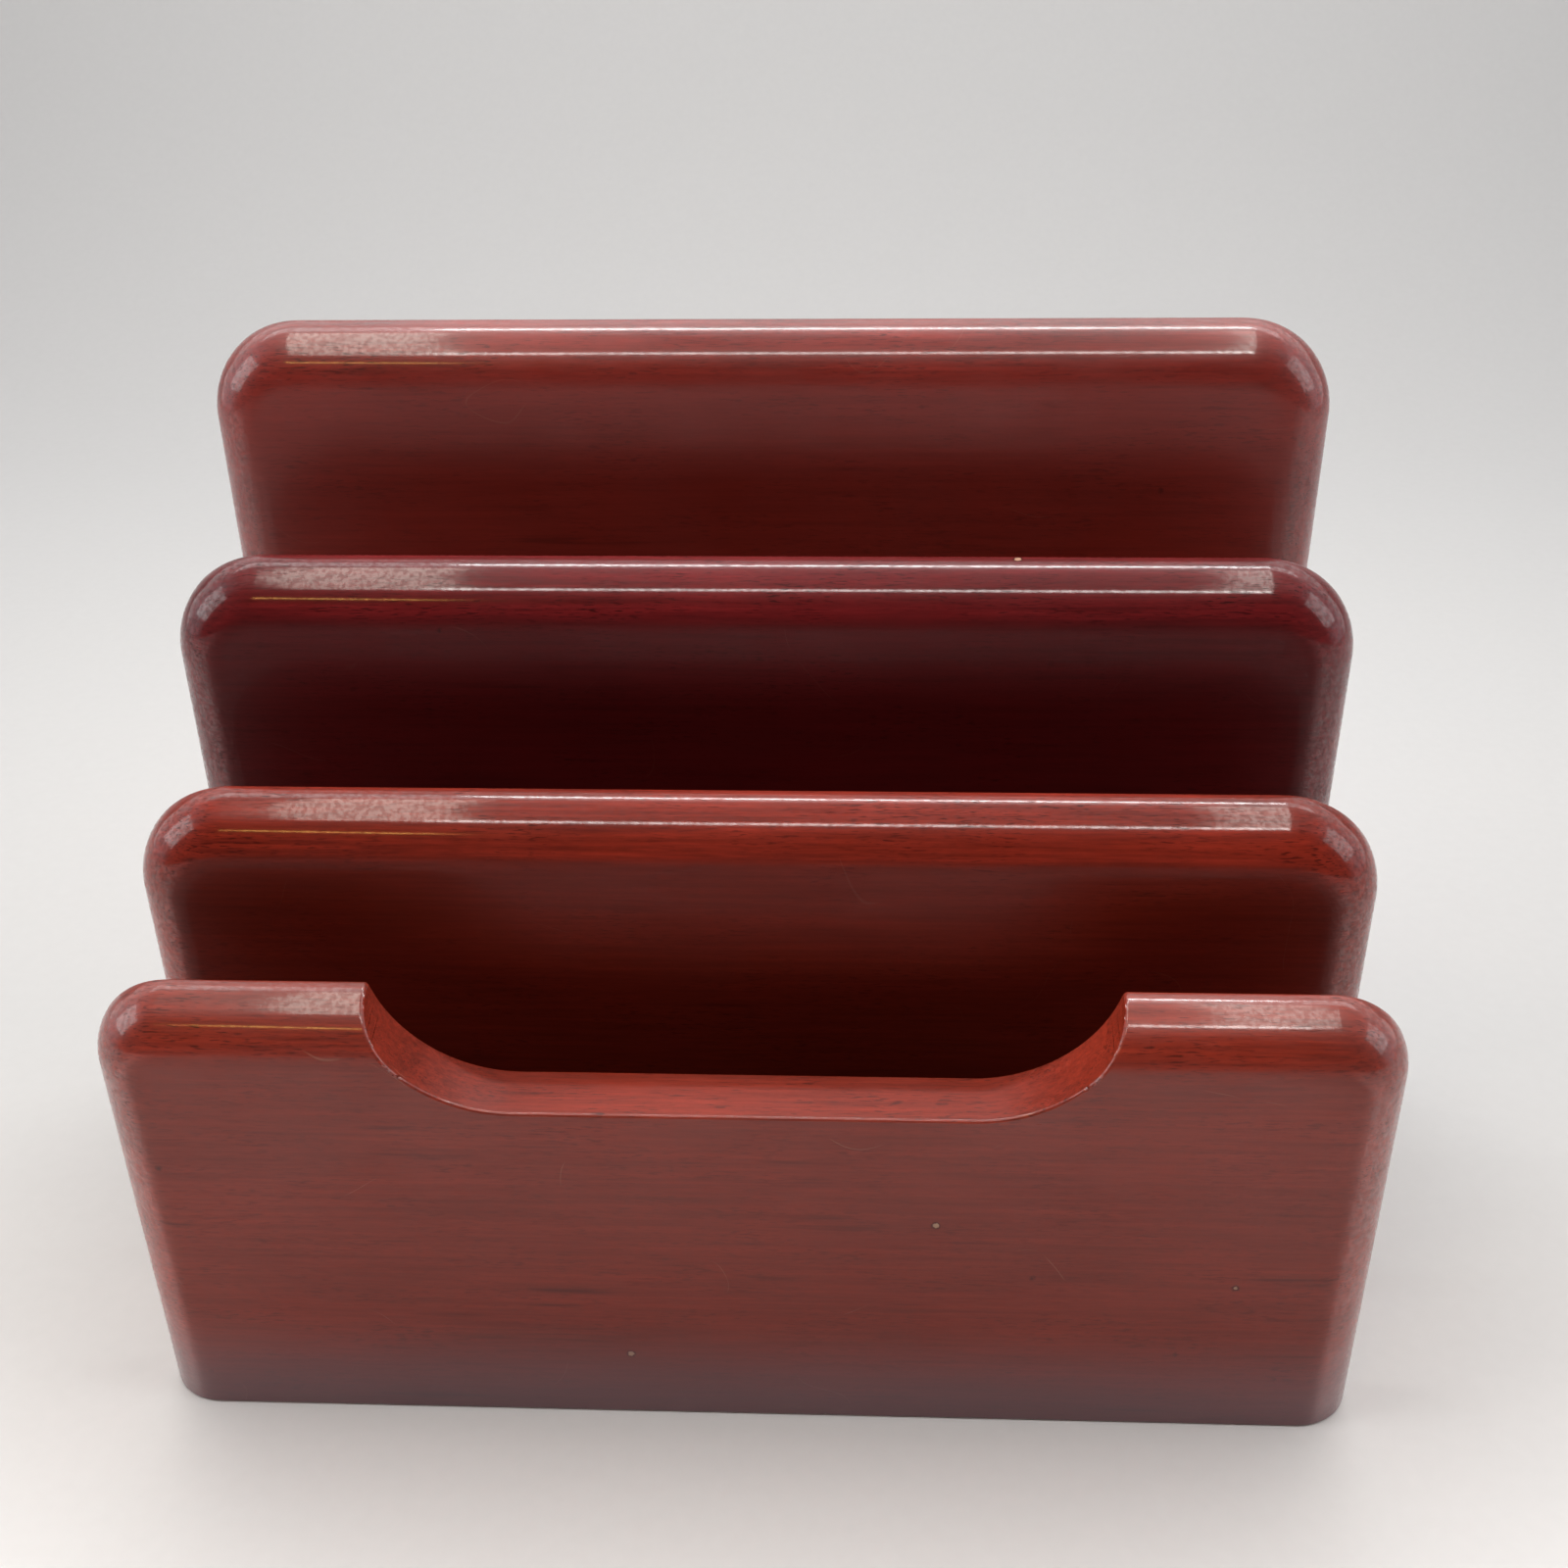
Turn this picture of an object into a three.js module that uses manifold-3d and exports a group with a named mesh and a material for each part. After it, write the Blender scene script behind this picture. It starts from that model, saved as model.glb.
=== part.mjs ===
// Desktop brochure rack: four upright wooden panels that step up from front to back, held apart by
// three floor strips and joined to them by glued dowels. It stands on the panels' lower edges.
// Millimetres, +Z up, front facing -Y, origin on the table top at the centre of the rack's box.

import * as THREE from 'three';
import { mergeVertices } from 'three/addons/utils/BufferGeometryUtils.js';
import Module from 'manifold-3d';

// ---- driving dimensions

const rackWidth = 228;            // every panel has the full width
const panelThickness = 12;

const panelNames = ['front_panel', 'front_divider', 'rear_divider', 'back_panel'];
const panelHeights = [92.0, 112.8, 143.0, 177.2];   // top edge above the table
const slotWidths = [19.3, 24.9, 29.1];              // clear gap between two panels, front to back
const cornerRadii = [14, 19, 19, 19];               // top corners of each panel, seen from the front

const backEasing = 0.8;           // small chamfer round the back face
const frontRound = 11.2;          // quarter round along the front of the top and both sides

const scoopWidth = 131.6;         // finger scoop in the top edge of the front panel
const scoopDepth = 19.2;
const scoopCornerRadius = 26;

const stripNames = ['front_floor_strip', 'middle_floor_strip', 'rear_floor_strip'];
const stripThickness = 12;
const stripLift = 3;              // underside of a strip above the table
const stripInset = 15;            // end of a strip back from the sides of the panels
const stripEasing = 0.6;

const dowelDiameter = 6;
const dowelFlutes = 8;
const fluteDepth = 0.35;
const dowelChamfer = 0.8;
const dowelsPerPanel = 3;
const dowelSpacing = 60;
const dowelStagger = 12;          // neighbouring panels' rows are shifted opposite ways
const dowelInPanel = 8;           // blind depth in the front and back panels
const dowelInStrip = 12;

// ---- clearances

const glueLine = 0.15;            // between faces that are glued together
const dowelClearance = 0.3;       // round a dowel, on the radius, and at its ends

// ---- fineness

const arcSteps = 8;               // steps in a quarter turn
const holeSides = 16;

// ---- materials

const stainedWood = new THREE.MeshStandardMaterial({ color: 0x5a2a24, roughness: 0.35, metalness: 0 });
const stripWood = new THREE.MeshStandardMaterial({ color: 0x4a211c, roughness: 0.5, metalness: 0 });
const beechWood = new THREE.MeshStandardMaterial({ color: 0xc69c6d, roughness: 0.7, metalness: 0 });

// ---- booleans

const wasm = await Module();
wasm.setup();

function toSolid(geometry) {
  const bare = geometry.clone();
  bare.deleteAttribute('normal');
  bare.deleteAttribute('uv');
  const merged = mergeVertices(bare, 1e-4);
  const mesh = new wasm.Mesh({
    numProp: 3,
    vertProperties: Float32Array.from(merged.attributes.position.array),
    triVerts: Uint32Array.from(merged.index.array),
  });
  return new wasm.Manifold(mesh);
}

function toGeometry(solid) {
  const mesh = solid.getMesh();
  const geometry = new THREE.BufferGeometry();
  geometry.setAttribute('position', new THREE.BufferAttribute(mesh.vertProperties, mesh.numProp));
  geometry.setIndex(new THREE.BufferAttribute(mesh.triVerts, 1));
  geometry.computeVertexNormals();
  return geometry;
}

function makeNode(name, geometry, material) {
  const mesh = new THREE.Mesh(geometry, material);
  mesh.name = name;
  return mesh;
}

// ---- layout from front to back

const rackDepth = panelThickness * panelNames.length + slotWidths.reduce((sum, gap) => sum + gap, 0);

const panelBacks = panelNames.map((name, index) => {
  const gapsBefore = slotWidths.slice(0, index).reduce((sum, gap) => sum + gap, 0);
  return -rackDepth / 2 + panelThickness * (index + 1) + gapsBefore;
});

const dowelHeight = stripLift + stripThickness / 2;

function dowelPlaces(panelIndex) {
  const shift = panelIndex % 2 === 0 ? -dowelStagger : dowelStagger;
  return Array.from({ length: dowelsPerPanel }, (_, place) => {
    return (place - (dowelsPerPanel - 1) / 2) * dowelSpacing + shift;
  });
}

// A dowel stops blind in the front and back panels and runs through a divider into both strips.
function dowelSpan(panelIndex) {
  const back = panelBacks[panelIndex];
  const front = back - panelThickness;
  if (panelIndex === 0) {
    return [back - dowelInPanel, back + dowelInStrip];
  }
  if (panelIndex === panelNames.length - 1) {
    return [front - dowelInStrip, front + dowelInPanel];
  }
  return [front - dowelInStrip, back + dowelInStrip];
}

// ---- shapes shared by the pieces

function box(xRange, yRange, zRange) {
  const size = [xRange, yRange, zRange].map(([low, high]) => high - low);
  const centre = [xRange, yRange, zRange].map(([low, high]) => (high + low) / 2);
  return toSolid(new THREE.BoxGeometry(...size).translate(...centre));
}

function dowelHoles(panelIndex) {
  const holeRadius = (dowelDiameter / 2 + dowelClearance) / Math.cos(Math.PI / holeSides);
  const [start, end] = dowelSpan(panelIndex);
  const length = end - start + 2 * dowelClearance;
  const hole = new THREE.CylinderGeometry(holeRadius, holeRadius, length, holeSides);
  return dowelPlaces(panelIndex).map((x) => {
    return toSolid(hole.clone().translate(x, (start + end) / 2, dowelHeight));
  });
}

// ---- panels

// Front view of a panel. It runs on below the table so that the bottom is cut off square.
function panelOutline(height, cornerRadius) {
  const half = rackWidth / 2;
  const bottom = -2 * frontRound;
  const shape = new THREE.Shape();
  shape.moveTo(-half, bottom);
  shape.lineTo(half, bottom);
  shape.lineTo(half, height - cornerRadius);
  shape.absarc(half - cornerRadius, height - cornerRadius, cornerRadius, 0, Math.PI / 2, false);
  shape.lineTo(-half + cornerRadius, height);
  shape.absarc(-half + cornerRadius, height - cornerRadius, cornerRadius, Math.PI / 2, Math.PI, false);
  shape.closePath();
  return shape;
}

// An extrusion of the outline whose rounded or chamfered front and back lie at the two given planes.
function roundedSlab(outline, frontY, backY, edgeSize, edgeSteps) {
  const geometry = new THREE.ExtrudeGeometry(outline, {
    depth: backY - frontY - 2 * edgeSize,
    curveSegments: arcSteps,
    bevelEnabled: true,
    bevelThickness: edgeSize,
    bevelSize: edgeSize,
    bevelOffset: -edgeSize,
    bevelSegments: edgeSteps,
  });
  geometry.rotateX(Math.PI / 2);
  geometry.translate(0, backY - edgeSize, 0);
  return toSolid(geometry);
}

function scoopCutter(height, backY) {
  const half = scoopWidth / 2;
  const floor = height - scoopDepth;
  const centre = half - scoopCornerRadius;
  const above = floor + scoopCornerRadius + panelThickness;
  const shape = new THREE.Shape();
  shape.moveTo(-half, above);
  shape.lineTo(-half, floor + scoopCornerRadius);
  shape.absarc(-centre, floor + scoopCornerRadius, scoopCornerRadius, Math.PI, Math.PI * 1.5, false);
  shape.lineTo(centre, floor);
  shape.absarc(centre, floor + scoopCornerRadius, scoopCornerRadius, Math.PI * 1.5, Math.PI * 2, false);
  shape.lineTo(half, above);
  shape.closePath();
  const geometry = new THREE.ExtrudeGeometry(shape, {
    depth: 3 * panelThickness,
    curveSegments: arcSteps,
    bevelEnabled: false,
  });
  geometry.rotateX(Math.PI / 2);
  geometry.translate(0, backY + panelThickness, 0);
  return toSolid(geometry);
}

function makePanel(index) {
  const height = panelHeights[index];
  const backY = panelBacks[index];
  const frontY = backY - panelThickness;
  const outline = panelOutline(height, cornerRadii[index]);
  const roundSize = Math.min(frontRound, panelThickness - backEasing);
  const roundFront = roundedSlab(outline, frontY, backY + 3 * roundSize, roundSize, arcSteps);
  const easedBack = roundedSlab(outline, frontY - 3 * backEasing, backY, backEasing, 1);
  const aboveTable = box([-rackWidth, rackWidth], [-rackDepth, rackDepth], [0, 2 * height]);
  let panel = roundFront.intersect(easedBack).intersect(aboveTable);
  if (index === 0) {
    panel = panel.subtract(scoopCutter(height, backY));
  }
  for (const hole of dowelHoles(index)) {
    panel = panel.subtract(hole);
  }
  return makeNode(panelNames[index], toGeometry(panel), stainedWood);
}

// ---- floor strips

function makeStrip(index) {
  const frontY = panelBacks[index] + glueLine;
  const backY = panelBacks[index + 1] - panelThickness - glueLine;
  const half = rackWidth / 2 - stripInset;
  const shape = new THREE.Shape();
  const low = stripLift;
  const high = stripLift + stripThickness;
  shape.moveTo(frontY, low);
  shape.lineTo(backY, low);
  shape.lineTo(backY, high - stripEasing);
  shape.lineTo(backY - stripEasing, high);
  shape.lineTo(frontY + stripEasing, high);
  shape.lineTo(frontY, high - stripEasing);
  shape.closePath();
  const geometry = new THREE.ExtrudeGeometry(shape, { depth: 2 * half, bevelEnabled: false });
  geometry.rotateX(Math.PI / 2);
  geometry.rotateZ(Math.PI / 2);
  geometry.translate(-half, 0, 0);
  let strip = toSolid(geometry);
  for (const hole of [...dowelHoles(index), ...dowelHoles(index + 1)]) {
    strip = strip.subtract(hole);
  }
  return makeNode(stripNames[index], toGeometry(strip), stripWood);
}

// ---- dowels

function flutedOutline(radius) {
  const shape = new THREE.Shape();
  const points = 2 * dowelFlutes;
  for (let step = 0; step < points; step += 1) {
    const angle = (step / points) * 2 * Math.PI;
    const reach = step % 2 === 0 ? radius : radius - fluteDepth;
    const place = [reach * Math.cos(angle), reach * Math.sin(angle)];
    if (step === 0) {
      shape.moveTo(...place);
    } else {
      shape.lineTo(...place);
    }
  }
  shape.closePath();
  return shape;
}

function makeDowels(panelIndex) {
  const [start, end] = dowelSpan(panelIndex);
  const geometry = new THREE.ExtrudeGeometry(flutedOutline(dowelDiameter / 2), {
    depth: end - start - 2 * dowelChamfer,
    bevelEnabled: true,
    bevelThickness: dowelChamfer,
    bevelSize: dowelChamfer,
    bevelOffset: -dowelChamfer,
    bevelSegments: 1,
  });
  geometry.rotateX(Math.PI / 2);
  geometry.translate(0, end - dowelChamfer, dowelHeight);
  return dowelPlaces(panelIndex).map((x, place) => {
    const dowel = makeNode(`${panelNames[panelIndex]}_dowel_${place + 1}`, geometry.clone(), beechWood);
    dowel.position.x = x;
    return dowel;
  });
}

// ---- the rack

const group = new THREE.Group();
panelNames.forEach((name, index) => {
  group.add(makePanel(index));
  group.add(...makeDowels(index));
});
stripNames.forEach((name, index) => {
  group.add(makeStrip(index));
});

export default group;
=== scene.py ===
import math

import bmesh
import bpy
from mathutils import Matrix, Vector


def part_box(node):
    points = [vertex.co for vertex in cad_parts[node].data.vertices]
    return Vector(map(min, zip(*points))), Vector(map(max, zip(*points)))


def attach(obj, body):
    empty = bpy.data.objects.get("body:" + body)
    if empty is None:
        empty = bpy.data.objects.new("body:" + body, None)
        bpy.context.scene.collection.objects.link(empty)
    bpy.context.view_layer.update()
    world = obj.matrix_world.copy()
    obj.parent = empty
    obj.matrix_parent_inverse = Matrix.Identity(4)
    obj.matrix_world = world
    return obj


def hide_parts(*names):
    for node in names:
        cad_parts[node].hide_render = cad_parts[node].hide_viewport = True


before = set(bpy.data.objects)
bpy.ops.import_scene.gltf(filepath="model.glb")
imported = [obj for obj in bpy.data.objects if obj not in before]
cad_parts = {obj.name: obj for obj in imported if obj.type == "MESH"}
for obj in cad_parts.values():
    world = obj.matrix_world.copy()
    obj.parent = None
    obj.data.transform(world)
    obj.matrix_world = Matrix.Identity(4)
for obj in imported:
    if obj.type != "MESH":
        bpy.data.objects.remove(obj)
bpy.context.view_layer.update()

mm = 0.001
tiny = 1e-6
print("frame loaded with", len(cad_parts), "nodes")


def makeTree(name, kind, inputs, outputs):
    # inputs and outputs: socket label -> socket kind, or (kind, default value)
    tree = bpy.data.node_groups.new(name, kind)
    for way, sockets in (("INPUT", inputs), ("OUTPUT", outputs)):
        for label, given in sockets.items():
            socketKind, value = given if isinstance(given, tuple) else (given, None)
            socket = tree.interface.new_socket(
                name=label, in_out=way, socket_type="NodeSocket" + socketKind)
            if value is not None:
                socket.default_value = value
    return tree


def add(tree, kind, settings=None, inputs=None):
    # a new node; an input is a number, a colour or another node's output socket
    node = tree.nodes.new(kind)
    for key, value in (settings or {}).items():
        setattr(node, key, value)
    for key, value in (inputs or {}).items():
        if isinstance(value, bpy.types.NodeSocket):
            tree.links.new(value, node.inputs[key])
        else:
            node.inputs[key].default_value = value
    return node


def calc(tree, operation, first, second=0.0, third=0.0, clamp=False):
    settings = {"operation": operation, "use_clamp": clamp}
    return add(tree, "ShaderNodeMath", settings, {0: first, 1: second, 2: third}).outputs[0]


def point(tree, x=0.0, y=0.0, z=0.0):
    return add(tree, "ShaderNodeCombineXYZ", None, {"X": x, "Y": y, "Z": z}).outputs[0]


def axes(tree, vector):
    return add(tree, "ShaderNodeSeparateXYZ", None, {0: vector}).outputs


def noise(tree, vector, scale, detail, roughness=0.5):
    inputs = {"Vector": vector, "Scale": scale, "Detail": detail, "Roughness": roughness}
    return add(tree, "ShaderNodeTexNoise", None, inputs).outputs["Fac"]


def rescale(tree, value, low, high, lowResult=0.0, highResult=1.0, smooth=False):
    # low and high become lowResult and highResult, and nothing goes past them
    settings = {"interpolation_type": "SMOOTHSTEP" if smooth else "LINEAR"}
    inputs = {"Value": value, "From Min": low, "From Max": high,
              "To Min": lowResult, "To Max": highResult}
    return add(tree, "ShaderNodeMapRange", settings, inputs).outputs[0]


def objectFromMesh(name, mesh):
    piece = bpy.data.objects.new(name, mesh)
    bpy.context.scene.collection.objects.link(piece)
    return piece


def geometryObject(name, tree, values):
    # an empty mesh object that carries the tree, with its inputs set by identifier
    piece = objectFromMesh(name, bpy.data.meshes.new(name))
    modifier = piece.modifiers.new(tree.name, "NODES")
    modifier.node_group = tree
    for item in tree.interface.items_tree:
        if item.in_out == "INPUT" and item.name in values:
            modifier[item.identifier] = values[item.name]
    return piece


def bakeModifiers(piece):
    # the evaluated shape becomes the object's own mesh, and every modifier goes
    depsgraph = bpy.context.evaluated_depsgraph_get()
    mesh = bpy.data.meshes.new_from_object(piece.evaluated_get(depsgraph), depsgraph=depsgraph)
    mesh.name = piece.name
    piece.modifiers.clear()
    piece.data = mesh
    return piece


cameraView = {
    "place": (0.01987, -0.29642, 0.27274),
    "downwards": math.radians(29.62),
    "towardsLeft": math.radians(2.82),
    "roll": math.radians(-0.914),
    "lens": 40.92,
    "sensor": 36.0,
}


def addCamera(view):
    data = bpy.data.cameras.new("camera")
    data.lens = view["lens"]
    data.sensor_width = view["sensor"]
    data.clip_start = 0.01
    camera = bpy.data.objects.new("camera", data)
    turn = Matrix.Rotation(view["towardsLeft"], 4, "Z")
    tilt = Matrix.Rotation(math.pi / 2 - view["downwards"], 4, "X")
    roll = Matrix.Rotation(view["roll"], 4, "Z")
    camera.matrix_world = Matrix.Translation(view["place"]) @ turn @ tilt @ roll
    bpy.context.scene.collection.objects.link(camera)
    bpy.context.scene.camera = camera


addCamera(cameraView)
print("camera placed")


grainFigure = {
    # frequencies of each part of the figure, per millimetre, along the grain and across it
    "fibres": (0.035, 1.1),
    "ripple": (0.25, 2.6),
    "ribs": (0.12, 2.4),
    "pores": (0.42, 3.4),
    "poreClusters": (0.05, 0.16),
    "streaks": (0.045, 0.75),
    "streakClusters": (0.02, 0.09),
    "clouds": (0.45, 1.0),
    # where each mask starts and where it is full
    "poreLimits": (0.56, 0.7),
    "poreClusterLimits": (0.35, 0.65),
    "streakLimits": (0.62, 0.76),
    "streakClusterLimits": (0.45, 0.62),
    # shares of the tone, and how deep a pore is against the ribs
    "fibreShare": 0.45,
    "cloudShare": 0.4,
    "rippleShare": 0.15,
    "poreDepth": 0.8,
}


def fineWoodGrain():
    # straight, fine grain along X: fibres, short dark pores, long streaks and cloudy stain
    figure = grainFigure
    tree = makeTree("fineWoodGrain", "ShaderNodeTree", {
        "Vector": "Vector",
        "Pore Amount": ("Float", 0.5),
        "Streak Amount": ("Float", 0.5),
        "Cloud Size": ("Float", 30.0),
    }, {"Tone": "Float", "Pores": "Float", "Streaks": "Float", "Height": "Float"})
    given = add(tree, "NodeGroupInput").outputs

    def drawn(part, detail, roughness=0.5, scale=1.0):
        # noise drawn out along the grain
        along, across = figure[part]
        inputs = {"Vector": given["Vector"], "Scale": (along, across, across)}
        vector = add(tree, "ShaderNodeMapping", None, inputs).outputs[0]
        return noise(tree, vector, scale, detail, roughness)

    def mask(part, partLimits, clusters, clusterLimits, amount):
        product = calc(tree, "MULTIPLY", rescale(tree, part, *figure[partLimits]),
                       rescale(tree, clusters, *figure[clusterLimits]))
        return calc(tree, "MULTIPLY", product, amount, clamp=True)

    pores = mask(drawn("pores", 1.0, 0.4), "poreLimits",
                 drawn("poreClusters", 2.0), "poreClusterLimits", given["Pore Amount"])
    streaks = mask(drawn("streaks", 1.5, 0.4), "streakLimits",
                   drawn("streakClusters", 1.0), "streakClusterLimits", given["Streak Amount"])
    cloudScale = calc(tree, "DIVIDE", 1.0, given["Cloud Size"])
    clouds = calc(tree, "MULTIPLY", drawn("clouds", 3.0, 0.55, cloudScale), figure["cloudShare"])
    tone = calc(tree, "MULTIPLY_ADD", drawn("fibres", 4.0, 0.6), figure["fibreShare"], clouds)
    tone = calc(tree, "MULTIPLY_ADD", drawn("ripple", 2.0), figure["rippleShare"], tone)
    height = calc(tree, "MULTIPLY_ADD", pores, -figure["poreDepth"], drawn("ribs", 2.0))
    results = {"Tone": tone, "Pores": pores, "Streaks": streaks, "Height": height}
    add(tree, "NodeGroupOutput", None, results)
    return tree


skinForm = {
    "peelSize": 0.9,               # millimetres across one dimple of the orange peel
    "swell": 0.12,                 # frequencies per millimetre
    "smear": 0.05,
    "rub": (0.3, 2.2, 2.2),
    "swellHeight": 3.0,            # against the orange peel's own height
    "grainHeight": 0.4,
    "smearRoughness": (0.65, 0.7), # least factor on the roughness, and how far it rises
    "rubRoughness": (0.6, 0.8),
    "crinkleLimits": (0.40, 0.58), # the dimples' hollows lose part of their gloss
    "crinkleGloss": (0.55, 1.0),
}


def lacquerSkin():
    # sprayed lacquer: orange peel about a millimetre across, a slow swell, and uneven gloss
    form = skinForm
    tree = makeTree("lacquerSkin", "ShaderNodeTree", {
        "Vector": "Vector",
        "Peel Size": ("Float", form["peelSize"]),
        "Grain Height": ("Float", 0.0),
        "Roughness": ("Float", 0.2),
    }, {"Height": "Float", "Roughness": "Float", "Gloss": "Float"})
    given = add(tree, "NodeGroupInput").outputs
    vector = given["Vector"]
    peel = noise(tree, vector, calc(tree, "DIVIDE", 1.0, given["Peel Size"]), 2.0, 0.45)
    swell = noise(tree, vector, form["swell"], 1.0)
    height = calc(tree, "MULTIPLY_ADD", swell, form["swellHeight"], peel)
    height = calc(tree, "MULTIPLY_ADD", given["Grain Height"], form["grainHeight"], height)
    smear = noise(tree, vector, form["smear"], 3.0)
    streaky = add(tree, "ShaderNodeMapping", None, {"Vector": vector, "Scale": form["rub"]}).outputs[0]
    rubbed = noise(tree, streaky, 1.0, 2.0)
    roughness = given["Roughness"]
    for unevenness, (least, rise) in ((smear, form["smearRoughness"]), (rubbed, form["rubRoughness"])):
        factor = calc(tree, "MULTIPLY_ADD", unevenness, rise, least)
        roughness = calc(tree, "MULTIPLY", roughness, factor)
    gloss = rescale(tree, peel, *form["crinkleLimits"], *form["crinkleGloss"])
    add(tree, "NodeGroupOutput", None, {"Height": height, "Roughness": roughness, "Gloss": gloss})
    return tree


wearForm = {
    "pitScale": 0.11,              # frequencies per millimetre
    "ragScale": 2.2,
    "scratchScale": 0.035,
    "patchScale": 0.06,
    "pitRadius": (0.03, 0.06),     # least radius in cells, and how much more it may be
    "ragDepth": 0.05,
    "pitEdge": (0.0, 0.02),        # past the pit's radius: where it fades out
    "rimEdge": (0.03, 0.06),       # and where its dark rim does
    "scratchEdge": (0.0004, 0.0016), # a scratch's core and its outer edge, in the noise's own values
    "patchEdge": (0.36, 0.42),
    "scratchDepth": 0.3,           # against a pit's depth
}


def shelfWear():
    # years of use: small pits through to bare wood with dark rims, and hair scratches
    form = wearForm
    tree = makeTree("shelfWear", "ShaderNodeTree", {
        "Vector": "Vector",
        "Pit Amount": ("Float", 0.5),
        "Scratch Amount": ("Float", 0.5),
    }, {"Pits": "Float", "Pit Rims": "Float", "Scratches": "Float", "Height": "Float"})
    given = add(tree, "NodeGroupInput").outputs
    vector = given["Vector"]

    def fade(value, limits):
        # 1 up to the first limit, 0 from the second
        return rescale(tree, value, limits[1], limits[0])

    cells = add(tree, "ShaderNodeTexVoronoi", {"voronoi_dimensions": "3D"},
                {"Vector": vector, "Scale": form["pitScale"], "Randomness": 1.0}).outputs
    pick = add(tree, "ShaderNodeSeparateColor", None, {"Color": cells["Color"]}).outputs
    least, more = form["pitRadius"]
    radius = calc(tree, "MULTIPLY_ADD", pick["Green"], more, least)
    ragged = noise(tree, vector, form["ragScale"], 1.0)
    distance = calc(tree, "MULTIPLY_ADD", ragged, form["ragDepth"], cells["Distance"])
    chosen = calc(tree, "LESS_THAN", pick["Red"], given["Pit Amount"])
    outside = calc(tree, "SUBTRACT", distance, radius)
    pits = calc(tree, "MULTIPLY", chosen, fade(outside, form["pitEdge"]))
    wide = calc(tree, "MULTIPLY", chosen, fade(outside, form["rimEdge"]))
    rims = calc(tree, "SUBTRACT", wide, pits, clamp=True)

    # a scratch runs where a slow noise crosses its middle value
    field = noise(tree, vector, form["scratchScale"], 1.0, 0.3)
    line = fade(calc(tree, "ABSOLUTE", calc(tree, "SUBTRACT", field, 0.5)), form["scratchEdge"])
    patches = fade(noise(tree, vector, form["patchScale"], 2.0), form["patchEdge"])
    scratches = calc(tree, "MULTIPLY", line, patches)
    scratches = calc(tree, "MULTIPLY", scratches, given["Scratch Amount"], clamp=True)
    scored = calc(tree, "MULTIPLY", scratches, -form["scratchDepth"])
    height = calc(tree, "MULTIPLY_ADD", pits, -1.0, scored)
    results = {"Pits": pits, "Pit Rims": rims, "Scratches": scratches, "Height": height}
    add(tree, "NodeGroupOutput", None, results)
    return tree


edgeTurn = {"flat": 0.995, "turned": 0.93}   # share of the normal that still faces front or back


def roundedEdges():
    # 1 where the surface turns away from the flat front and back, which hands have kept polished; the
    # flat faces outside it take the painted shade
    tree = makeTree("roundedEdges", "ShaderNodeTree", {"Normal": "Vector"}, {"Mask": "Float"})
    normal = add(tree, "NodeGroupInput").outputs["Normal"]
    facing = calc(tree, "ABSOLUTE", axes(tree, normal)["Y"])
    mask = rescale(tree, facing, edgeTurn["flat"], edgeTurn["turned"], smooth=True)
    add(tree, "NodeGroupOutput", None, {"Mask": mask})
    return tree


grainGroup = fineWoodGrain()
skinGroup = lacquerSkin()
wearGroup = shelfWear()
edgeGroup = roundedEdges()


def mixColour(tree, factor, first, second, mode="MIX"):
    node = add(tree, "ShaderNodeMix", {"data_type": "RGBA", "blend_type": mode},
               {"Factor": factor, "A": first, "B": second})
    return node.outputs["Result"]


def startMaterial(name, shift=(0.0, 0.0, 0.0)):
    # a material, its Principled shader and object coordinates in millimetres
    material = bpy.data.materials.new(name)
    material.use_nodes = True
    tree = material.node_tree
    tree.nodes.clear()
    shader = add(tree, "ShaderNodeBsdfPrincipled")
    add(tree, "ShaderNodeOutputMaterial", None, {"Surface": shader.outputs[0]})
    place = add(tree, "ShaderNodeTexCoord").outputs["Object"]
    inputs = {"Vector": place, "Location": shift, "Scale": (1 / mm, 1 / mm, 1 / mm)}
    return material, tree, shader, add(tree, "ShaderNodeMapping", None, inputs).outputs[0]


def group(tree, groupTree, inputs):
    return add(tree, "ShaderNodeGroup", {"node_tree": groupTree}, inputs).outputs


def ramp(tree, factor, stops):
    node = add(tree, "ShaderNodeValToRGB", None, {"Fac": factor})
    elements = node.color_ramp.elements
    stops = list(stops)
    while len(elements) < len(stops):
        elements.new(0.5)
    for element, (position, colour) in zip(elements, stops):
        element.position = position
        element.color = (*colour, 1.0)
    return node.outputs[0]


lacquer = {
    "faceRoughness": 0.42,         # rubbed dull by paper on the flat faces
    "edgeRoughness": 0.10,         # still glossy where the wood turns away
    "facePolish": 0.05,            # share of that gloss left on the flat faces
    "poreGlossLoss": 0.6,
    "faceCalm": 0.5,               # how far the flat faces hide the figure of the grain
    "footHaze": (0.20, 0.13, 0.145, 1.0),
    "footHazeHeight": 26 * mm,
    "relief": 0.018 * mm,          # depth of the lacquer's relief
    "pitDepth": 8.0,               # against that relief
    "darker": 0.62,                # tones of the fibres against the plain stain
    "lighter": 1.42,
    "toneStops": (0.36, 0.5, 0.64),
    "pore": 0.3,
    "streakStrength": 0.7,
    "rimStrength": 0.8,
    "scratchStrength": 0.35,
    "bare": (0.62, 0.36, 0.24, 1.0),
    "indexOfRefraction": 1.5,
}


def tinted(colour, factor):
    return tuple(channel * factor for channel in colour)


def footHaze(tree, amount):
    # greys the lacquer towards the table
    place = add(tree, "ShaderNodeTexCoord").outputs["Object"]
    reach = lacquer["footHazeHeight"]
    return rescale(tree, axes(tree, place)["Z"], reach, 0.0, highResult=amount, smooth=True)


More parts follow.
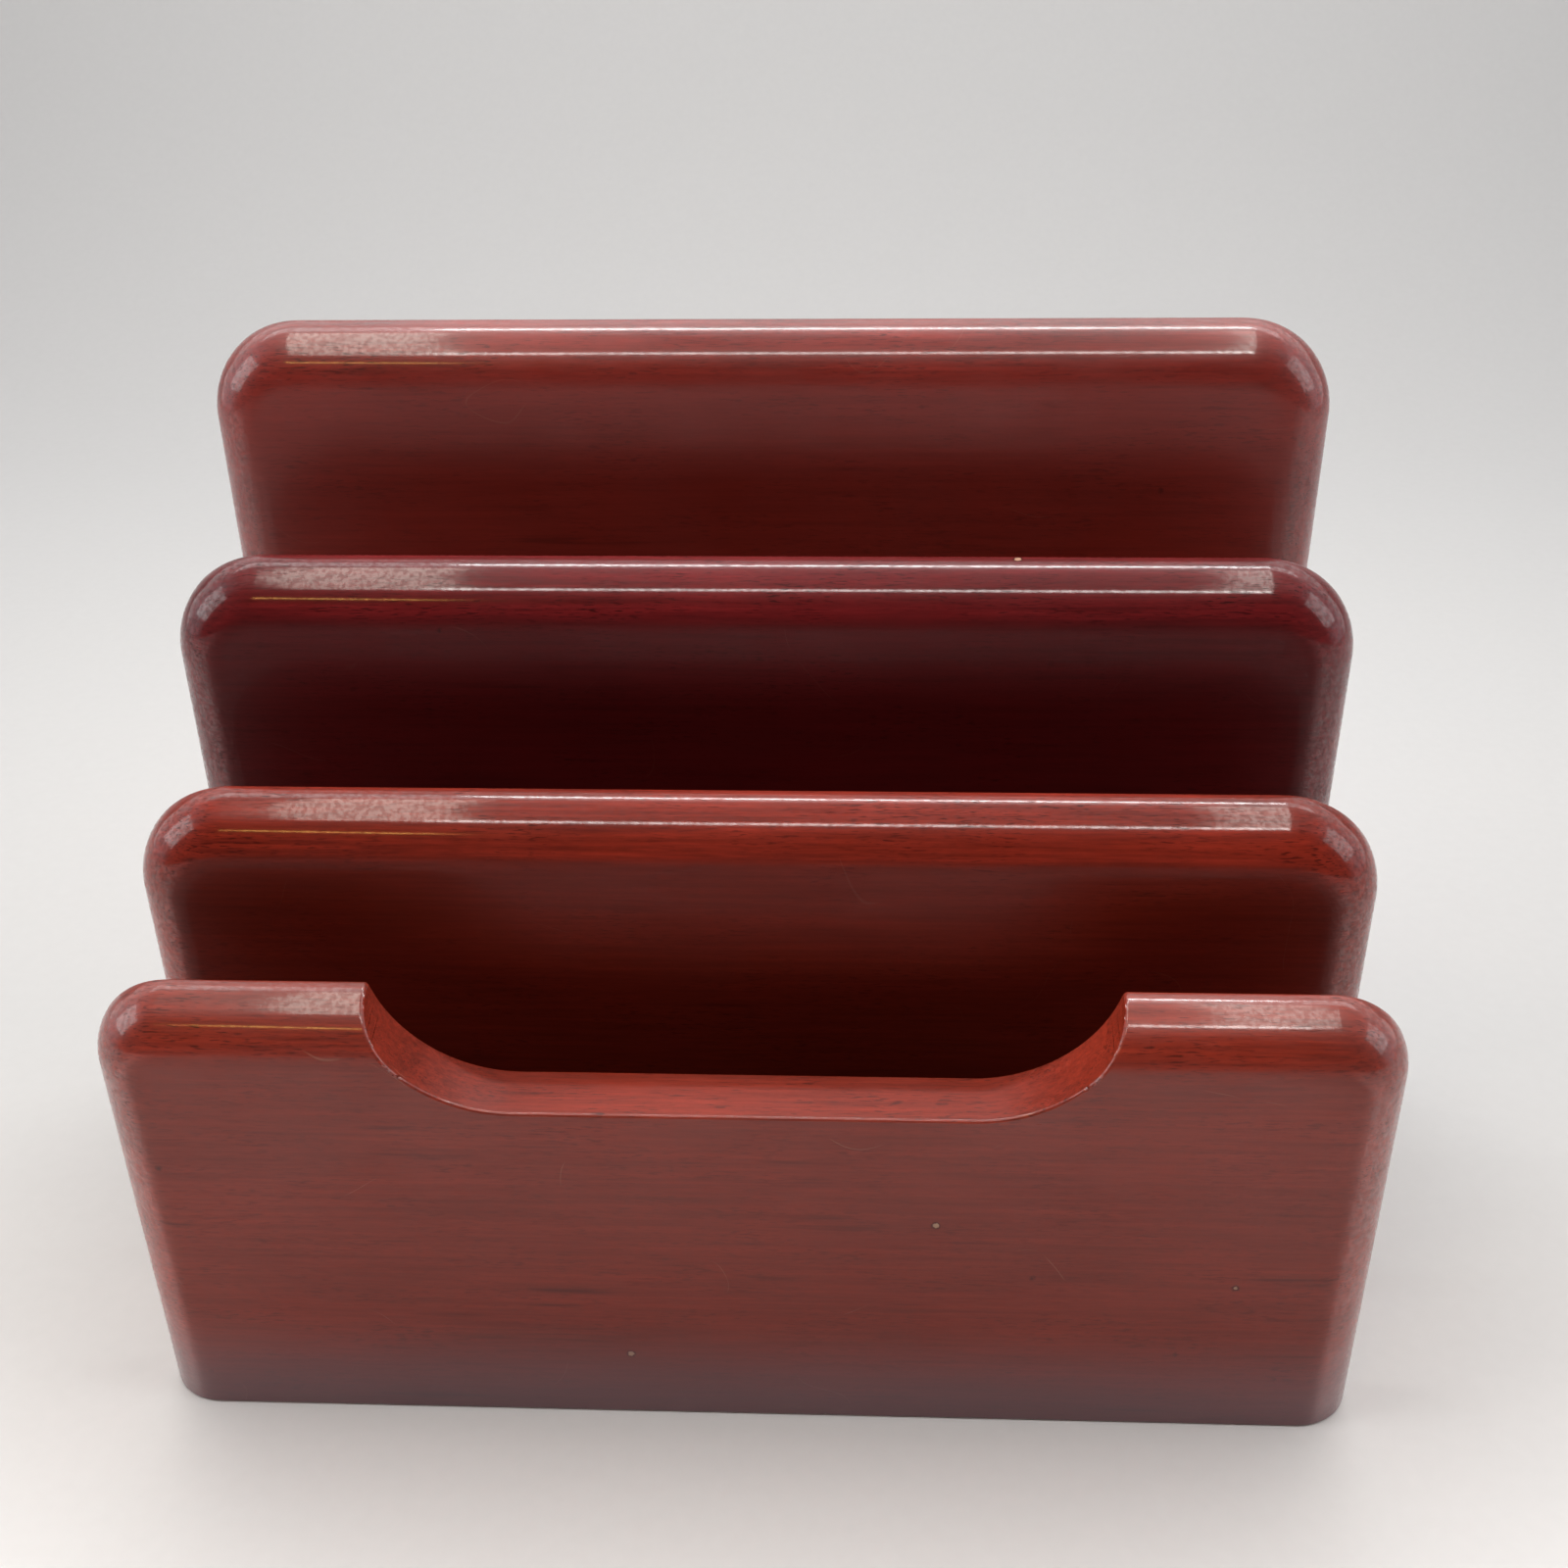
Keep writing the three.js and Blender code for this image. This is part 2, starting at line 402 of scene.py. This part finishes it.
def stainedColour(tree, grain, wear, turned, stain, contrast):
    look = lacquer
    dark = tinted(stain, 1.0 + (look["darker"] - 1.0) * contrast)
    light = tinted(stain, 1.0 + (look["lighter"] - 1.0) * contrast)
    pore = (*tinted(stain, look["pore"]), 1.0)

    def over(mask, strength, below, above):
        return mixColour(tree, calc(tree, "MULTIPLY", mask, strength), below, above)

    colour = ramp(tree, grain["Tone"], zip(look["toneStops"], (dark, stain, light)))
    colour = mixColour(tree, grain["Pores"], colour, pore)
    calm = calc(tree, "MULTIPLY_ADD", turned, -look["faceCalm"], look["faceCalm"])
    colour = mixColour(tree, calm, colour, (*stain, 1.0))
    colour = over(grain["Streaks"], look["streakStrength"], colour, pore)
    colour = over(wear["Pit Rims"], look["rimStrength"], colour, pore)
    colour = mixColour(tree, wear["Pits"], colour, look["bare"])
    return over(wear["Scratches"], look["scratchStrength"], colour, look["bare"])


def stainedLacquer(name, shift, stain, contrast, poreAmount, streakAmount, pitAmount, scratchAmount,
                   hazeAmount=0.0, faceSheen=0.12, paintedFaceShade=1.0):
    look = lacquer
    material, tree, shader, place = startMaterial(name, shift)
    grain = group(tree, grainGroup, {
        "Vector": place, "Pore Amount": poreAmount, "Streak Amount": streakAmount})
    wear = group(tree, wearGroup, {
        "Vector": place, "Pit Amount": pitAmount, "Scratch Amount": scratchAmount})
    skin = group(tree, skinGroup, {
        "Vector": place, "Grain Height": grain["Height"], "Roughness": look["faceRoughness"]})
    normal = add(tree, "ShaderNodeNewGeometry").outputs["Normal"]
    turned = group(tree, edgeGroup, {"Normal": normal})["Mask"]

    def onEdges(faceValue):
        # the face's value on the flat faces, rising to 1 on the rounded edges
        return calc(tree, "MULTIPLY_ADD", turned, 1.0 - faceValue, faceValue)

    colour = stainedColour(tree, grain, wear, turned, stain, contrast)
    # painted shade: the flat faces are darkened by each panel's own factor, while the rounded edges keep
    # the stain's colour
    colour = mixColour(tree, 1.0, colour, onEdges(paintedFaceShade), "MULTIPLY")
    colour = mixColour(tree, footHaze(tree, hazeAmount), colour, look["footHaze"])
    gloss = calc(tree, "MULTIPLY", onEdges(look["facePolish"]), skin["Gloss"])
    poreGloss = calc(tree, "MULTIPLY_ADD", grain["Pores"], -look["poreGlossLoss"], 1.0)
    height = calc(tree, "MULTIPLY_ADD", wear["Height"], look["pitDepth"], skin["Height"])
    bump = add(tree, "ShaderNodeBump", None, {
        "Height": height, "Strength": 1.0, "Distance": look["relief"]})
    tree.links.new(colour, shader.inputs["Base Color"])
    tree.links.new(skin["Roughness"], shader.inputs["Roughness"])
    tree.links.new(calc(tree, "MULTIPLY", gloss, poreGloss), shader.inputs["Coat Weight"])
    tree.links.new(bump.outputs[0], shader.inputs["Normal"])
    shader.inputs["Coat Roughness"].default_value = look["edgeRoughness"]
    shader.inputs["Specular IOR Level"].default_value = faceSheen
    shader.inputs["IOR"].default_value = look["indexOfRefraction"]
    return material


panelForm = {
    "backEasing": 0.8 * mm,
    "supportEdge": 0.4 * mm,   # flat strip beside each round, which steadies the shading
    "cornerSteps": 28,
    "roundSteps": 24,
    "easingSteps": 4,
    "cutEasing": 0.6 * mm,     # the arris left by a fine sanding on every cut edge
    "cutEasingSteps": 4,
    "cutEasingAngle": math.radians(50),
}


def openCurve(tree, curve):
    inputs = {"Geometry": curve.outputs[0], "Cyclic": False}
    return add(tree, "GeometryNodeSetSplineCyclic", None, inputs).outputs[0]


def outlineNodes(tree, width, height, corner, steps):
    # two upright sides and a top with rounded corners, open at the foot
    half = calc(tree, "MULTIPLY", width, 0.5)
    left = calc(tree, "MULTIPLY", half, -1.0)
    quad = add(tree, "GeometryNodeCurvePrimitiveQuadrilateral", {"mode": "POINTS"}, {
        "Point 1": point(tree, left),
        "Point 2": point(tree, left, height),
        "Point 3": point(tree, half, height),
        "Point 4": point(tree, half),
    })
    index = add(tree, "GeometryNodeInputIndex").outputs[0]
    isTop = calc(tree, "COMPARE", index, 1.5, 0.6)
    rounded = add(tree, "GeometryNodeFilletCurve", {"mode": "POLY"}, {
        "Curve": openCurve(tree, quad), "Count": steps, "Radius": calc(tree, "MULTIPLY", isTop, corner)})
    level = add(tree, "GeometryNodeSetCurveNormal", {"mode": "Z_UP"}, {"Curve": rounded.outputs[0]})
    return level.outputs[0]


def profileNodes(tree, given):
    # section through an edge: X is inwards from the outline, Y from the front face to the back
    frontInset = calc(tree, "ADD", given["Front Round"], given["Support Edge"])
    backInset = calc(tree, "ADD", given["Back Easing"], given["Support Edge"])
    quad = add(tree, "GeometryNodeCurvePrimitiveQuadrilateral", {"mode": "POINTS"}, {
        "Point 1": point(tree, frontInset),
        "Point 2": point(tree),
        "Point 3": point(tree, 0.0, given["Thickness"]),
        "Point 4": point(tree, backInset, given["Thickness"]),
    })
    index = add(tree, "GeometryNodeInputIndex").outputs[0]
    isFront = calc(tree, "COMPARE", index, 1.0, 0.1)
    isBack = calc(tree, "COMPARE", index, 2.0, 0.1)
    radius = calc(tree, "MULTIPLY_ADD", isFront, given["Front Round"],
                  calc(tree, "MULTIPLY", isBack, given["Back Easing"]))
    count = calc(tree, "MULTIPLY_ADD", isFront, given["Round Steps"],
                 calc(tree, "MULTIPLY", isBack, given["Easing Steps"]))
    rounded = add(tree, "GeometryNodeFilletCurve", {"mode": "POLY"},
                  {"Curve": openCurve(tree, quad), "Count": count, "Radius": radius})
    return rounded.outputs[0]


def panelTree():
    # the edge section swept round the outline, then the front, back and foot closed from its rims
    inputs = {label: "Float" for label in (
        "Width", "Height", "Thickness", "Corner Radius",
        "Front Round", "Back Easing", "Support Edge", "Front Y")}
    inputs.update({label: "Int" for label in ("Corner Steps", "Round Steps", "Easing Steps")})
    inputs["Finish"] = "Material"
    tree = makeTree("roundedPanel", "GeometryNodeTree", inputs, {"Geometry": "Geometry"})
    given = add(tree, "NodeGroupInput").outputs

    def ringFrom(mesh, edges):
        return add(tree, "GeometryNodeMeshToCurve", None, {"Mesh": mesh, "Selection": edges}).outputs[0]

    def filled(ring):
        return add(tree, "GeometryNodeFillCurve", {"mode": "NGONS"}, {"Curve": ring}).outputs[0]

    def moved(shape, place, turn=(0.0, 0.0, 0.0)):
        inputs = {"Geometry": shape, "Translation": place, "Rotation": turn}
        return add(tree, "GeometryNodeTransform", None, inputs).outputs[0]

    def welded(shape):
        inputs = {"Geometry": shape, "Distance": tiny}
        return add(tree, "GeometryNodeMergeByDistance", None, inputs).outputs[0]

    outline = outlineNodes(tree, given["Width"], given["Height"],
                           given["Corner Radius"], given["Corner Steps"])
    band = add(tree, "GeometryNodeCurveToMesh", None,
               {"Curve": outline, "Profile Curve": profileNodes(tree, given)}).outputs[0]
    joined = add(tree, "GeometryNodeJoinGeometry", None, {0: band})
    neighbours = add(tree, "GeometryNodeInputMeshEdgeNeighbors").outputs[0]
    onRim = calc(tree, "COMPARE", neighbours, 1.0, 0.1)
    place = axes(tree, add(tree, "GeometryNodeInputPosition").outputs[0])
    aboveFoot = calc(tree, "MULTIPLY", onRim, calc(tree, "GREATER_THAN", place["Y"], tiny))
    for depth in (0.0, calc(tree, "MULTIPLY", given["Thickness"], -1.0)):
        onFace = calc(tree, "MULTIPLY", aboveFoot, calc(tree, "COMPARE", place["Z"], depth, tiny))
        ring = add(tree, "GeometryNodeSetSplineCyclic", None,
                   {"Geometry": ringFrom(band, onFace), "Cyclic": True}).outputs[0]
        face = moved(filled(ring), point(tree, 0.0, 0.0, depth))
        tree.links.new(face, joined.inputs[0])
    upright = moved(joined.outputs[0], point(tree, 0.0, given["Front Y"]), (math.pi / 2, 0.0, 0.0))
    shell = welded(upright)
    whole = add(tree, "GeometryNodeJoinGeometry", None, {0: shell})
    tree.links.new(filled(ringFrom(shell, onRim)), whole.inputs[0])
    real = add(tree, "GeometryNodeRealizeInstances", None, {"Geometry": welded(whole.outputs[0])})
    painted = add(tree, "GeometryNodeSetMaterial", None,
                  {"Geometry": real.outputs[0], "Material": given["Finish"]})
    add(tree, "NodeGroupOutput", None, {"Geometry": painted.outputs[0]})
    return tree


def meshFromShell(name, shell):
    mesh = bpy.data.meshes.new(name)
    shell.to_mesh(mesh)
    shell.free()
    return mesh


def turnFacesOut(mesh):
    shell = bmesh.new()
    shell.from_mesh(mesh)
    bmesh.ops.recalc_face_normals(shell, faces=shell.faces)
    shell.to_mesh(mesh)
    shell.free()


scoop = {
    "width": 131.6 * mm,
    "depth": 19.2 * mm,
    "cornerRadius": 26 * mm,   # larger than the depth, so the ends lean outwards a little
    "arcSteps": 44,
    "reach": 10 * mm,          # how far the cutter stands clear of the panel
}


def arc(centre, radius, start, end, steps):
    turns = [start + (end - start) * step / steps for step in range(steps + 1)]
    return [(centre[0] + radius * math.cos(turn), centre[1] + radius * math.sin(turn))
            for turn in turns]


def scoopCutter(top, frontY, backY):
    floor = top - scoop["depth"]
    bend = scoop["cornerRadius"]
    side = scoop["width"] / 2
    right = [(side, top + scoop["reach"])]
    right += arc((side - bend, floor + bend), bend, 0.0, -math.pi / 2, scoop["arcSteps"])
    left = [(-x, z) for x, z in reversed(right)]
    outline = right + left
    shell = bmesh.new()
    rings = [[shell.verts.new((x, y, z)) for x, z in outline]
             for y in (frontY - scoop["reach"], backY + scoop["reach"])]
    shell.faces.new(rings[0])
    shell.faces.new(reversed(rings[1]))
    for index in range(len(outline)):
        after = (index + 1) % len(outline)
        shell.faces.new((rings[0][index], rings[1][index], rings[1][after], rings[0][after]))
    bmesh.ops.recalc_face_normals(shell, faces=shell.faces)
    return objectFromMesh("scoopCutter", meshFromShell("scoopCutter", shell))


panelGeometry = panelTree()

panels = {
    "front_panel": {
        "cornerRadius": 14 * mm,
        "finish": {
            "shift": (13.0, 4.0, 60.0),        # takes each panel from another part of the board
            "stain": (0.30, 0.030, 0.013),
            "contrast": 1.1,
            "poreAmount": 1.0,
            "streakAmount": 0.9,
            "pitAmount": 0.16,
            "scratchAmount": 0.6,
            "hazeAmount": 0.75,
            "faceSheen": 0.37,
            "paintedFaceShade": 0.72,                  # painted shade on the flat faces against the rounded edges
        },
    },
    "front_divider": {
        "cornerRadius": 19 * mm,
        "finish": {
            "shift": (211.0, 40.0, 310.0),
            "stain": (0.31, 0.027, 0.012),
            "contrast": 1.2,
            "poreAmount": 1.0,
            "streakAmount": 0.5,
            "pitAmount": 0.03,
            "scratchAmount": 0.2,
            # painted shade on this divider's flat faces, which sit in a slot
            "paintedFaceShade": 0.56,
        },
    },
    "rear_divider": {
        "cornerRadius": 19 * mm,
        "finish": {
            "shift": (-140.0, 91.0, -220.0),
            "stain": (0.18, 0.011, 0.012),
            "contrast": 1.1,
            "poreAmount": 1.0,
            "streakAmount": 0.5,
            "pitAmount": 0.03,
            "scratchAmount": 0.2,
            # painted shade on this divider's flat faces, which sit in a slot
            "paintedFaceShade": 0.62,
        },
    },
    "back_panel": {
        "cornerRadius": 19 * mm,
        "finish": {
            "shift": (320.0, -60.0, 140.0),
            "stain": (0.27, 0.023, 0.014),
            "contrast": 1.0,
            "poreAmount": 0.9,
            "streakAmount": 0.6,
            "pitAmount": 0.03,
            "scratchAmount": 0.2,
            "faceSheen": 0.4,
        },
    },
}


def makePanel(name, look):
    low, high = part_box(name)
    thickness = high.y - low.y
    finish = stainedLacquer(name + "Finish", **look["finish"])
    piece = geometryObject(name + "_body", panelGeometry, {
        "Width": high.x - low.x,
        "Height": high.z,
        "Thickness": thickness,
        "Corner Radius": look["cornerRadius"],
        "Front Round": thickness - panelForm["backEasing"],
        "Back Easing": panelForm["backEasing"],
        "Support Edge": panelForm["supportEdge"],
        "Front Y": low.y,
        "Corner Steps": panelForm["cornerSteps"],
        "Round Steps": panelForm["roundSteps"],
        "Easing Steps": panelForm["easingSteps"],
        "Finish": finish,
    })
    bakeModifiers(piece)
    turnFacesOut(piece.data)
    cutter = None
    if name == "front_panel":
        cutter = scoopCutter(high.z, low.y, high.y)
        cutter.data.materials.append(finish)
        cut = piece.modifiers.new("scoop", "BOOLEAN")
        cut.operation = "DIFFERENCE"
        cut.solver = "EXACT"
        cut.object = cutter
    ease = piece.modifiers.new("easing", "BEVEL")
    ease.width = panelForm["cutEasing"]
    ease.segments = panelForm["cutEasingSteps"]
    ease.limit_method = "ANGLE"
    ease.angle_limit = panelForm["cutEasingAngle"]
    ease.use_clamp_overlap = False
    bakeModifiers(piece)
    for polygon in piece.data.polygons:
        polygon.use_smooth = True
    piece.modifiers.new("shading", "WEIGHTED_NORMAL").keep_sharp = True
    bakeModifiers(piece)
    if cutter:
        bpy.data.objects.remove(cutter)
    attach(piece, "root")
    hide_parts(name)
    return piece


for panelName, panelLook in panels.items():
    made = makePanel(panelName, panelLook)
    print(panelName, "made with", len(made.data.polygons), "faces")


def refinish(node, finish):
    node.data.materials.clear()
    node.data.materials.append(finish)


strips = {
    "shifts": {
        "front_floor_strip": (70.0, 10.0, 510.0),
        "middle_floor_strip": (-90.0, 33.0, 610.0),
        "rear_floor_strip": (150.0, 71.0, 710.0),
    },
    "finish": {
        "stain": (0.17, 0.016, 0.010),
        "contrast": 0.9,
        "poreAmount": 0.7,
        "streakAmount": 0.4,
        "pitAmount": 0.02,
        "scratchAmount": 0.1,
    },
}

for stripName, stripShift in strips["shifts"].items():
    refinish(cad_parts[stripName],
             stainedLacquer(stripName + "Finish", stripShift, **strips["finish"]))
print("floor strips finished")


dowels = {
    "poreAmount": 0.6,
    "tones": [(0.3, (0.50, 0.31, 0.16)), (0.7, (0.72, 0.52, 0.32))],
    "pore": (0.34, 0.19, 0.09, 1.0),
    "relief": 0.05 * mm,
    "roughness": 0.65,
}


def beechMaterial(name):
    # bare beech, with its grain along the dowel
    material, tree, shader, place = startMaterial(name)
    inputs = {"Vector": place, "Rotation": (0.0, 0.0, math.pi / 2)}
    turned = add(tree, "ShaderNodeMapping", None, inputs).outputs[0]
    grain = group(tree, grainGroup, {
        "Vector": turned, "Pore Amount": dowels["poreAmount"], "Streak Amount": 0.0})
    colour = ramp(tree, grain["Tone"], dowels["tones"])
    colour = mixColour(tree, grain["Pores"], colour, dowels["pore"])
    bump = add(tree, "ShaderNodeBump", None, {"Height": grain["Height"], "Distance": dowels["relief"]})
    tree.links.new(colour, shader.inputs["Base Color"])
    tree.links.new(bump.outputs[0], shader.inputs["Normal"])
    shader.inputs["Roughness"].default_value = dowels["roughness"]
    return material


beech = beechMaterial("beechFinish")
for nodeName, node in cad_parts.items():
    if "_dowel_" in nodeName:
        refinish(node, beech)
print("dowels finished")


sweep = {
    "front": -1.2,
    "back": 0.45,
    "radius": 0.35,
    "height": 0.55,
    "halfWidth": 1.4,
    "steps": 24,
    "paintedLightWhite": (0.92, 0.905, 0.89, 1.0),
    "backWhite": (0.76, 0.757, 0.75, 1.0),
    "whiteChange": (60.0, -60.0),  # millimetres along Y, from the back white to the front white
    "speckle": (0.98, 0.04),       # least shade, and how much lighter a speck may be
    "speckleScale": 0.3,
    "roughness": 0.6,
    "sheen": 0.2,
}


def paperMaterial():
    # warm white paper, with painted light: lighter in front of the rack than behind it
    material, tree, shader, place = startMaterial("paperFinish")
    # painted light on the table in front of the rack, where the rack keeps light off
    paintedLightFront = rescale(tree, axes(tree, place)["Y"], *sweep["whiteChange"], smooth=True)
    colour = mixColour(tree, paintedLightFront, sweep["backWhite"], sweep["paintedLightWhite"])
    least, more = sweep["speckle"]
    speckle = noise(tree, place, sweep["speckleScale"], 4.0)
    shade = calc(tree, "MULTIPLY_ADD", speckle, more, least)
    colour = mixColour(tree, 1.0, colour, shade, "MULTIPLY")
    tree.links.new(colour, shader.inputs["Base Color"])
    shader.inputs["Roughness"].default_value = sweep["roughness"]
    shader.inputs["Specular IOR Level"].default_value = sweep["sheen"]
    return material


def addSweep():
    bend = sweep["radius"]
    profile = [(sweep["front"], 0.0)]
    profile += arc((sweep["back"], bend), bend, -math.pi / 2, 0.0, sweep["steps"])
    profile.append((sweep["back"] + bend, sweep["height"]))
    shell = bmesh.new()
    left, right = [[shell.verts.new((x, y, z)) for y, z in profile]
                   for x in (-sweep["halfWidth"], sweep["halfWidth"])]
    for index in range(len(profile) - 1):
        face = shell.faces.new((left[index], right[index], right[index + 1], left[index + 1]))
        face.smooth = True
    mesh = meshFromShell("paperSweep", shell)
    mesh.materials.append(paperMaterial())
    objectFromMesh("paperSweep", mesh)


addSweep()


lightLevel = 0.8   # lamps and room together


def addArea(name, place, aim, size, power, colour=(1.0, 1.0, 1.0),
            glossy=True, diffuse=True, spread=180):
    data = bpy.data.lights.new(name, "AREA")
    data.shape = "RECTANGLE"
    data.size, data.size_y = size
    data.energy = power * lightLevel
    data.color = colour
    data.spread = math.radians(spread)
    light = bpy.data.objects.new(name, data)
    turn = (Vector(aim) - Vector(place)).to_track_quat("-Z", "Y").to_matrix().to_4x4()
    light.matrix_world = Matrix.Translation(place) @ turn
    light.visible_glossy = glossy
    light.visible_diffuse = diffuse
    bpy.context.scene.collection.objects.link(light)


# a lamp head with a lit rectangle of four bars above the rack, and a warm lamp far off to the left
lights = {
    "rearBar": {
        "place": (0.028, 0.21, 0.44), "aim": (0.028, 0.0, 0.12), "size": (0.33, 0.010), "power": 0.55},
    "frontBar": {
        "place": (0.023, -0.22, 0.62), "aim": (0.023, 0.0, 0.12), "size": (0.424, 0.04), "power": 0.95,
        "colour": (1.0, 0.96, 0.92), "diffuse": False},
    "leftBar": {
        "place": (-0.187, 0.0, 0.53), "aim": (-0.187, 0.01, 0.1), "size": (0.078, 0.38), "power": 0.66,
        "colour": (1.0, 0.94, 0.84)},
    "rightBar": {
        "place": (0.193, 0.0, 0.53), "aim": (0.193, 0.01, 0.1), "size": (0.052, 0.38), "power": 0.42,
        "colour": (1.0, 0.95, 0.88)},
    "frontDown": {
        "place": (0.0, -0.30, 0.55), "aim": (0.0, -0.30, 0.0), "size": (0.5, 0.15), "power": 0.60,
        "glossy": False, "spread": 50},
    "leftSoftbox": {
        "place": (-0.95, -0.16, 0.5), "aim": (-0.1, -0.16, 0.0), "size": (0.5, 0.5), "power": 2.4},
    "rightSoftbox": {
        "place": (0.95, -0.16, 0.5), "aim": (0.1, -0.16, 0.0), "size": (0.5, 0.5), "power": 1.8},
    "backLight": {
        "place": (0.0, 0.42, 0.75), "aim": (0.0, 0.75, 0.1), "size": (1.2, 0.3), "power": 3.8},
    "warmLamp": {
        "place": (-0.38, -0.72, 0.83), "aim": (0.0, 0.0, 0.1), "size": (0.18, 0.03), "power": 0.30,
        "colour": (1.0, 0.56, 0.14)},
}
for lightName, settings in lights.items():
    addArea(lightName, **settings)


room = {
    "sides": (0.95, 0.92, 1.0, 1.0),
    "back": (1.6, 1.6, 1.6, 1.0),
    "zenith": (0.55, 0.55, 0.55, 1.0),
    "front": (0.025, 0.025, 0.03, 1.0),
    "backLimits": (0.1, 0.5),      # where the sides give way, along Y
    "zenithLimits": (0.6, 0.85),   # and along Z
    "frontLimits": (-0.1, -0.45),
}


def addWorld():
    # a white room, dark only towards the viewer
    world = bpy.data.worlds.new("room")
    world.use_nodes = True
    tree = world.node_tree
    tree.nodes.clear()
    ways = axes(tree, add(tree, "ShaderNodeTexCoord").outputs["Generated"])
    colour = room["sides"]
    for side, axis in (("back", "Y"), ("zenith", "Z"), ("front", "Y")):
        blend = rescale(tree, ways[axis], *room[side + "Limits"], smooth=True)
        colour = mixColour(tree, blend, colour, room[side])
    back = add(tree, "ShaderNodeBackground", None, {"Color": colour, "Strength": lightLevel})
    add(tree, "ShaderNodeOutputWorld", None, {"Surface": back.outputs[0]})
    bpy.context.scene.world = world


addWorld()
bpy.context.scene.view_settings.view_transform = "Standard"
print("stage and lights placed")
